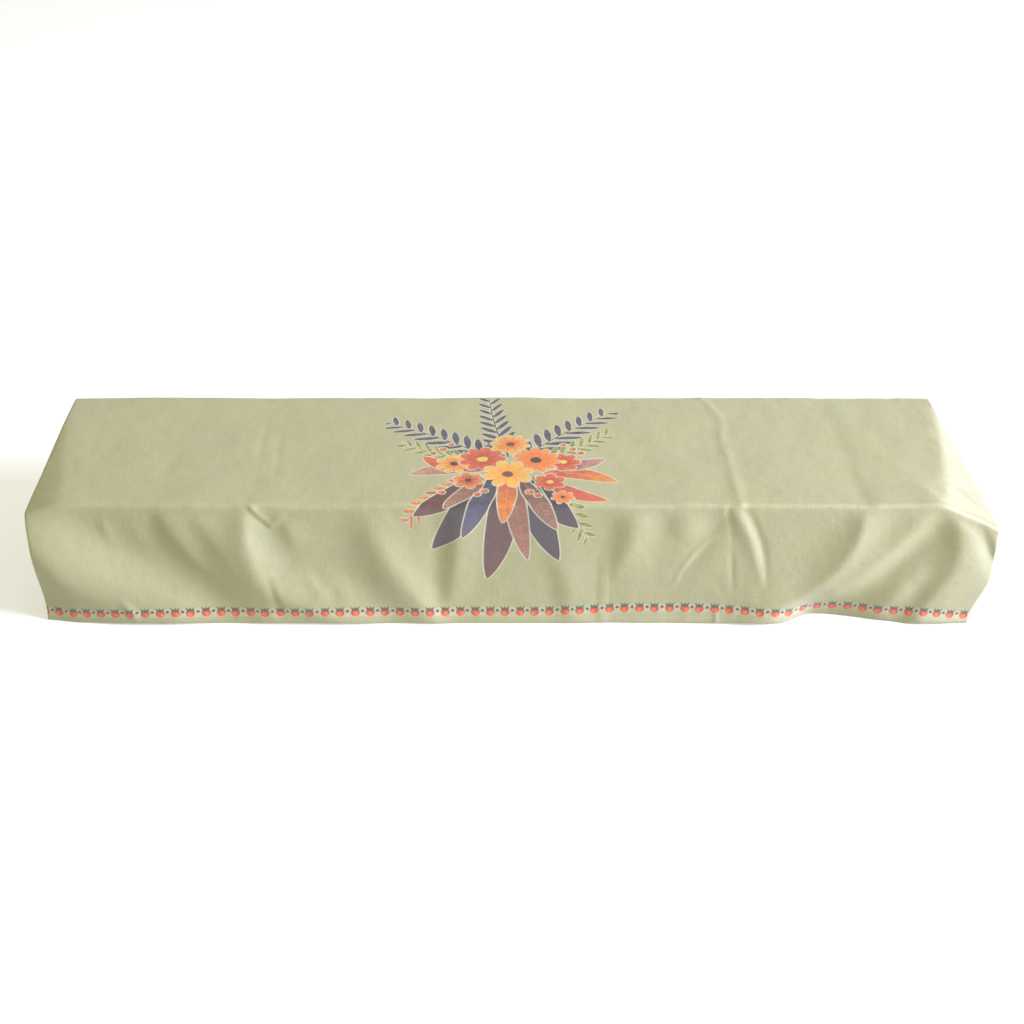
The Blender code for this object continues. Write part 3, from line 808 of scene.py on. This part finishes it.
def leafGroup():
    tree, given, result = newGroup("leaf", leaves)
    look = motifLook
    along, across = localPlace(given)
    share = along / given.length
    across = across - share * (1.0 - share) * given.bend * 4.0
    inside, share = bladeDepth(along, across, given.length, given.width, look["leafFullness"])
    wash = grain(tree, "cloth", look["leafWash"], look["washDetail"])
    colour = mixColour(tree, given.deep, given.pale, (share * 0.9 + wash - 0.45).share(1.0))
    veins = ((along - abs(across) * look["slant"]) * look["veins"]).calc("SINE") * 0.5 + 0.5
    colour = mixColour(tree, colour, given.deep, veins * 0.35)
    midrib = (look["midribWidth"] - abs(across)).share(look["midribEdge"])
    colour = mixColour(tree, colour, given.pale, midrib * 0.6)
    paint(tree, given, result, colour, inside)
    return tree


def sprigGroup():
    tree, given, result = newGroup("sprig", sprigs)
    look = motifLook
    along, across = localPlace(given)
    share = along / given.length
    across = across - share * share * given.bend
    side = across.calc("GREATER_THAN", 0.0)
    beside = abs(across)
    place = (along - beside * look["slant"]) / given.pitch + side * 0.5
    slot = (place.calc("FRACT") - 0.5) * given.pitch
    taper = share * look["taper"] + 1.0
    blade = bladeDepth(beside, slot, given.leafLength * taper, given.leafWidth * taper,
                       look["sprigFullness"])[0]
    onStem = (along - beside * look["slant"]).share(look["stemEnd"])
    onStem = onStem * (given.length - along + beside * 0.4).share(look["stemEnd"])
    stem = taper * look["stemWidth"] - beside
    inside = blade.calc("MAXIMUM", stem)
    inside = inside * onStem + (onStem - 1.0) * 0.01
    wash = grain(tree, "cloth", look["sprigWash"], look["washDetail"])
    colour = mixColour(tree, given.deep, given.pale, (wash * 2.2 - 0.6).share(1.0))
    paint(tree, given, result, colour, inside, 0.55)
    return tree


def flowerGroup():
    tree, given, result = newGroup("flower", flowers)
    look = motifLook
    right, up = motifOffset(given)
    reach = distance(right, up)
    angle = (up.calc("ARCTAN2", right) + given.turn) * given.petals * 0.5
    petal = abs(angle.calc("COSINE")) ** look["petalFullness"]
    rim = given.radius * (petal * (1.0 - given.waist) + given.waist)
    outward = reach / given.radius
    wash = grain(tree, "cloth", look["flowerWash"], look["washDetail"])
    colour = mixColour(tree, given.deep, given.pale, (outward * 1.1 + wash - 0.55).share(1.0))
    streak = (angle * look["streaks"]).calc("SINE") * 0.5 + 0.5
    colour = mixColour(tree, colour, given.deep, streak * 0.3)
    colour = mixColour(tree, colour, given.deep, (0.62 - petal).share(0.25) * 0.8)
    heart = given.radius * look["heartSize"] - reach + (wash - 0.5) * look["heartFray"]
    colour = mixColour(tree, colour, given.heart, heart.share(look["heartEdge"]))
    paint(tree, given, result, colour, rim - reach)
    return tree


def berryGroup():
    tree, given, result = newGroup("berry", berries)
    right, up = motifOffset(given)
    reach = distance(right, up)
    lightRight, lightUp = right + given.radius * 0.3, up - given.radius * 0.3
    lit = distance(lightRight, lightUp) / given.radius
    colour = mixColour(tree, given.pale, given.deep, lit.share(1.2))
    paint(tree, given, result, colour, given.radius - reach)
    return tree


inks = {
    "slate": ink(34, 30, 42), "smoke": ink(92, 84, 104), "bark": ink(34, 18, 12),
    "coffee": ink(58, 32, 22), "chestnut": ink(112, 54, 30), "fawn": ink(186, 128, 96),
    "blush": ink(214, 160, 130), "rust": ink(186, 48, 16), "orange": ink(238, 104, 22),
    "amber": ink(250, 156, 36), "yellow": ink(248, 202, 70), "moss": ink(112, 116, 34),
    "lime": ink(172, 172, 62),
}

# The printed posy stands on the cloth's own places: metres along the cover from its middle,
# and metres up the front and over the top from the hem. turn is in degrees from the right,
# and a flower's is in radians
sprigs = table(
    "placeX placeY turn length bend leafLength leafWidth pitch deep pale",
    (-0.01, 0.33, 139, 0.225, 0.03, 0.036, 0.0088, 0.022, "slate", "smoke"),
    (0.01, 0.335, 105, 0.19, -0.018, 0.032, 0.008, 0.02, "slate", "smoke"),
    (0.03, 0.33, 55, 0.205, -0.03, 0.038, 0.009, 0.023, "slate", "smoke"),
    (0.045, 0.315, 31, 0.155, 0.022, 0.028, 0.0072, 0.018, "moss", "lime"),
    (-0.02, 0.32, 164, 0.145, -0.02, 0.026, 0.007, 0.017, "moss", "lime"),
    (-0.03, 0.28, 214, 0.15, 0.026, 0.026, 0.0068, 0.017, "rust", "amber"),
    (0.05, 0.275, -52, 0.15, -0.022, 0.026, 0.0068, 0.017, "moss", "lime"),
)

leaves = table(
    "placeX placeY turn length width bend deep pale",
    (-0.02, 0.3, 186, 0.118, 0.015, -0.01, "chestnut", "blush"),
    (0.06, 0.29, -12, 0.112, 0.015, 0.01, "rust", "amber"),
    (0.05, 0.282, -34, 0.125, 0.015, -0.012, "rust", "orange"),
    (-0.034, 0.29, 228, 0.14, 0.02, 0.014, "coffee", "chestnut"),
    (0.044, 0.28, -60, 0.132, 0.02, -0.014, "bark", "coffee"),
    (-0.022, 0.285, 243, 0.176, 0.021, 0.012, "bark", "coffee"),
    (0.036, 0.285, -75, 0.18, 0.021, -0.01, "slate", "coffee"),
    (0.006, 0.28, 262, 0.205, 0.022, 0.008, "bark", "chestnut"),
    (0.016, 0.285, 277, 0.176, 0.015, -0.006, "chestnut", "fawn"),
    (-0.012, 0.285, 251, 0.142, 0.015, 0.006, "slate", "smoke"),
    (0.028, 0.28, -66, 0.128, 0.014, -0.006, "coffee", "fawn"),
    (-0.026, 0.285, 236, 0.104, 0.013, 0.006, "chestnut", "fawn"),
    (-0.045, 0.3, 152, 0.085, 0.013, 0.008, "rust", "orange"),
    (0.065, 0.31, 14, 0.092, 0.013, -0.008, "chestnut", "blush"),
    (0.005, 0.29, 268, 0.116, 0.014, 0.004, "rust", "amber"),
)

flowers = table(
    "placeX placeY turn radius petals waist deep pale heart",
    (-0.072, 0.318, 0.4, 0.027, 8, 0.5, "orange", "yellow", "bark"),
    (0.092, 0.322, 0.9, 0.025, 7, 0.52, "rust", "orange", "yellow"),
    (0.012, 0.374, 0.2, 0.03, 10, 0.6, "orange", "yellow", "chestnut"),
    (-0.03, 0.332, 0.7, 0.036, 9, 0.58, "rust", "orange", "yellow"),
    (0.05, 0.327, 0.1, 0.036, 11, 0.62, "orange", "amber", "bark"),
    (0.008, 0.288, 0.5, 0.038, 8, 0.55, "amber", "yellow", "chestnut"),
    (-0.05, 0.27, 0.3, 0.023, 6, 0.5, "rust", "amber", "bark"),
    (0.07, 0.266, 0.6, 0.024, 6, 0.5, "rust", "orange", "yellow"),
    (0.088, 0.222, 0.2, 0.017, 7, 0.5, "orange", "amber", "bark"),
)

berries = table(
    "placeX placeY radius deep pale",
    (-0.09, 0.362, 0.0055, "rust", "amber"),
    (-0.104, 0.35, 0.005, "rust", "orange"),
    (-0.078, 0.376, 0.005, "rust", "amber"),
    (0.106, 0.36, 0.0055, "rust", "amber"),
    (0.118, 0.348, 0.005, "rust", "orange"),
    (0.092, 0.372, 0.0048, "rust", "amber"),
    (-0.026, 0.24, 0.0055, "rust", "amber"),
    (-0.036, 0.23, 0.005, "rust", "orange"),
    (0.04, 0.238, 0.006, "rust", "amber"),
    (0.052, 0.228, 0.005, "rust", "orange"),
    (-0.088, 0.236, 0.005, "rust", "amber"),
)


def addPosy(tree, colour):
    x, y = mapPlace(tree, "cloth")
    for group, motifs in ((sprigGroup(), sprigs), (leafGroup(), leaves),
                          (flowerGroup(), flowers), (berryGroup(), berries)):
        for motif in motifs:
            values = {"under": colour, "x": x, "y": y}
            for label, value in motif._asdict().items():
                if label in paints:
                    value = inks[value]
                elif label == "turn" and group.name != "flower":
                    value = math.radians(value)
                values[label] = value
            colour = newNode(tree, "Group", values, node_tree=group).outputs["painted"]
    return colour


weave = {
    "colour": (0.484, 0.472, 0.227, 1.0),
    "warmer": (0.489, 0.46, 0.209, 1.0),
    "cloud": (0.075, 0.09),  # a patch of the warmer colour
    "cloudShade": 0.1,
    "threadPitch": 0.0011,
    "threadShade": 0.02,
    "threadHeight": 0.00005,
    "slub": (0.0018, 0.032),
    "slubShade": 0.15,  # how much lighter or darker a slub is
    "slubHeight": 0.00012,
    "rumple": (0.022, 0.022),
    "rumpleHeight": 0.0007,
    "roughness": 0.6,
    "roughnessSpread": 0.14,
    "finish": {"IOR": 1.7, "Specular IOR Level": 1.0, "Sheen Weight": 0.18, "Sheen Roughness": 0.5},
}

stitching = {
    "height": 0.0086,  # above the hem's edge
    "pitch": 0.0036,
    "halfWidth": 0.0005,
    "widthEdge": 0.0004,
    "halfLength": 0.34,  # as a share of the pitch
    "lengthEdge": 0.08,
    "shade": 0.16,
    "sink": 0.0002,
    "hemStep": 0.00035,  # at the stitched edge of the turned-up hem
    "hemStepRise": 0.0006,  # how far above the stitches it starts
    "hemStepWidth": 0.0012,
}


def newMaterial(name):
    material = bpy.data.materials.new(name)
    material.use_nodes = True
    return material, material.node_tree, material.node_tree.nodes["Principled BSDF"]


def clothMaterial(name, printed=False):
    material, tree, shader = newMaterial(name)
    u, v = mapPlace(tree, "cloth")
    height = mapPlace(tree, "print")[1]
    warp = grain(tree, "cloth", weave["slub"])
    weft = grain(tree, "cloth", weave["slub"][::-1])
    clouds = grain(tree, "cloth", weave["cloud"], 4.0)
    perMetre = 2 * math.pi / weave["threadPitch"]
    threads = (u * perMetre).calc("SINE")
    threads = threads * (v * perMetre).calc("SINE")

    colour = mixColour(tree, weave["colour"], weave["warmer"], (clouds * 2.0 - 0.5).share(1.0))
    if printed:
        colour = addPosy(tree, colour)
    colour = addBorder(tree, colour)

    seam = stitching
    stitchLine = (seam["halfWidth"] - abs(height - seam["height"])).share(seam["widthEdge"])
    dash = (u / seam["pitch"]).calc("FRACT")
    stitches = stitchLine * (seam["halfLength"] - abs(dash - 0.5)).share(seam["lengthEdge"])
    slubs = warp + weft - 1.0
    shade = slubs * weave["slubShade"] + (clouds - 0.5) * weave["cloudShade"]
    shade = shade + threads * weave["threadShade"] + 1.0
    shade = shade - stitches * seam["shade"]
    grey = newNode(tree, "CombineColor", dict.fromkeys(("Red", "Green", "Blue"), shade))
    colour = mixColour(tree, colour, grey.outputs[0], 1.0, "MULTIPLY")
    roughness = slubs * weave["roughnessSpread"] + weave["roughness"]

    hemStep = (seam["height"] - height + seam["hemStepRise"]).share(seam["hemStepWidth"])
    relief = threads * weave["threadHeight"] + slubs * weave["slubHeight"]
    rumples = grain(tree, "cloth", weave["rumple"])
    relief = relief + hemStep * seam["hemStep"] - stitches * seam["sink"]
    relief = relief + rumples * weave["rumpleHeight"]
    bump = newNode(tree, "Bump", {"Height": relief, "Strength": 1.0, "Distance": 1.0})
    plugAll(tree, shader, {"Base Color": colour, "Roughness": roughness,
                           "Normal": bump.outputs["Normal"], **weave["finish"]})
    return material


plainCloth = clothMaterial("main panel cloth")
printedCloth = clothMaterial("printed cloth", printed=True)
endCloth = clothMaterial("end panel cloth")

main = buildMainSheet(plainCloth, printedCloth)
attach(main, "root")
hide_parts("cover_main")
print("main sheet:", len(main.data.polygons), "faces")

ends = []
for name, seamX, outward, node in (("coverLeftEnd", cover["leftEnd"], -1.0, "end_left"),
                                   ("coverRightEnd", cover["rightEnd"], 1.0, "end_right")):
    end = buildEndSheet(name, seamX, outward, endCloth)
    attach(end, "root")
    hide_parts(node)
    ends.append(end)
    print(name + ":", len(end.data.polygons), "faces")

# Camera: tilted down on the front's top edge, as the photograph was taken
camera = {
    "tilt": 32.0,
    "distance": 2.47,
    "above": 0.01,  # how far above the picture's middle the front's top edge is
    "aside": 0.0144,
    "lens": 60.5,
    "sensor": 36.0,
}


def addCamera():
    tilt = math.radians(camera["tilt"])
    forward = Vector((0.0, math.cos(tilt), -math.sin(tilt)))
    upward = Vector((0.0, math.sin(tilt), math.cos(tilt)))
    frontEdge = Vector((camera["aside"], -halfDepth, cover["topHeight"]))
    data = bpy.data.cameras.new("camera")
    data.lens = camera["lens"]
    data.sensor_width = camera["sensor"]
    thing = addThing("camera", data)
    thing.location = frontEdge - camera["distance"] * forward - camera["above"] * upward
    thing.rotation_euler = (math.pi / 2 - tilt, 0.0, 0.0)
    bpy.context.scene.camera = thing


keyPlace, keyAim, keyColour = (5.7, -1.8, 2.25), (0.0, 0.0, -0.05), (0.68, 0.7, 1.0)
lights = table(
    "name place aim size power colour lit",
    ("key", keyPlace, keyAim, 1.8, 900, keyColour, "long panel"),
    # the right end faces the key squarely, so less of it is let through to the ends
    ("key for the ends", keyPlace, keyAim, 1.8, 470, keyColour, "ends"),
    ("overhead", (-0.5, 0.5, 2.2), (-0.5, 0.0, 0.0), 1.0, 4.5, (1.0, 0.98, 0.7), "long panel"),
    # below the top, so that it lights the back alone
    ("back", (2.3, 2.7, -0.1), (0.0, 0.16, -0.1), 0.18, 50, (0.9, 0.91, 1.0), "long panel"),
)

studio = {
    "skyColour": (0.458, 0.45, 0.34, 1.0),
    "skySeen": (1.0, 1.0, 1.0, 1.0),
    "floorSize": 14.0,
    "floorGap": 0.0005,
    "floorFinish": {"Base Color": (0.95, 0.95, 0.95, 1.0), "Roughness": 0.9,
                    "Emission Color": (1.0, 1.0, 1.0, 1.0), "Emission Strength": 0.35},
    "flagPlace": (0.86, -0.015, 0.049),
    "flagHeight": 0.026,
    "flagLength": 0.39,
}


def stagePlane(name, place, width, length, tilt=0.0):
    grid = bmesh.new()
    bmesh.ops.create_grid(grid, x_segments=1, y_segments=1, size=0.5)
    fitted = Matrix.Translation(place) @ Matrix.Rotation(tilt, 4, "Y")
    fitted = fitted @ Matrix.Diagonal((width, length, 1.0, 1.0))
    bmesh.ops.transform(grid, verts=grid.verts, matrix=fitted)
    mesh = bpy.data.meshes.new(name)
    grid.to_mesh(mesh)
    grid.free()
    plane = addThing(name, mesh)
    plane.visible_diffuse = False  # it throws no light back onto the cloth
    plane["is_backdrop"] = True
    return plane


def addSky():  # white to look at, dimmer as light
    world = bpy.data.worlds.new("studio")
    world.use_nodes = True
    tree = world.node_tree
    seen = newNode(tree, "LightPath").outputs["Is Camera Ray"]
    sky = mixColour(tree, studio["skyColour"], studio["skySeen"], seen)
    plugAll(tree, tree.nodes["Background"], {"Color": sky})
    bpy.context.scene.world = world


def addFloor():
    place = (0.0, 0.0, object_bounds()[0].z - studio["floorGap"])
    floor = stagePlane("floor", place, studio["floorSize"], studio["floorSize"])
    material, tree, shader = newMaterial("floor paper")
    plugAll(tree, shader, studio["floorFinish"])
    floor.data.materials.append(material)
    return floor


def addFlag():  # holds some of the key off the slope at the right, which would burn out
    flag = stagePlane("flag", studio["flagPlace"], studio["flagHeight"], studio["flagLength"],
                      math.radians(90))
    flag.visible_camera = False
    flag.visible_glossy = False


def addLights(litThings):
    lit = {}
    for label, things in litThings.items():
        lit[label] = bpy.data.collections.new("lit with the " + label)
        for thing in things:
            lit[label].objects.link(thing)
    for given in lights:
        data = bpy.data.lights.new(given.name, "AREA")
        data.energy = given.power
        data.size = given.size
        data.color = given.colour
        light = addThing(given.name, data)
        light.location = given.place
        light.rotation_euler = (Vector(given.aim) - light.location).to_track_quat("-Z", "Y").to_euler()
        light.visible_camera = False
        light.light_linking.receiver_collection = lit[given.lit]


addCamera()
addSky()
floor = addFloor()
addFlag()
addLights({"long panel": (main, floor), "ends": ends})
bpy.context.scene.view_settings.view_transform = "Standard"
print("camera and studio ready")
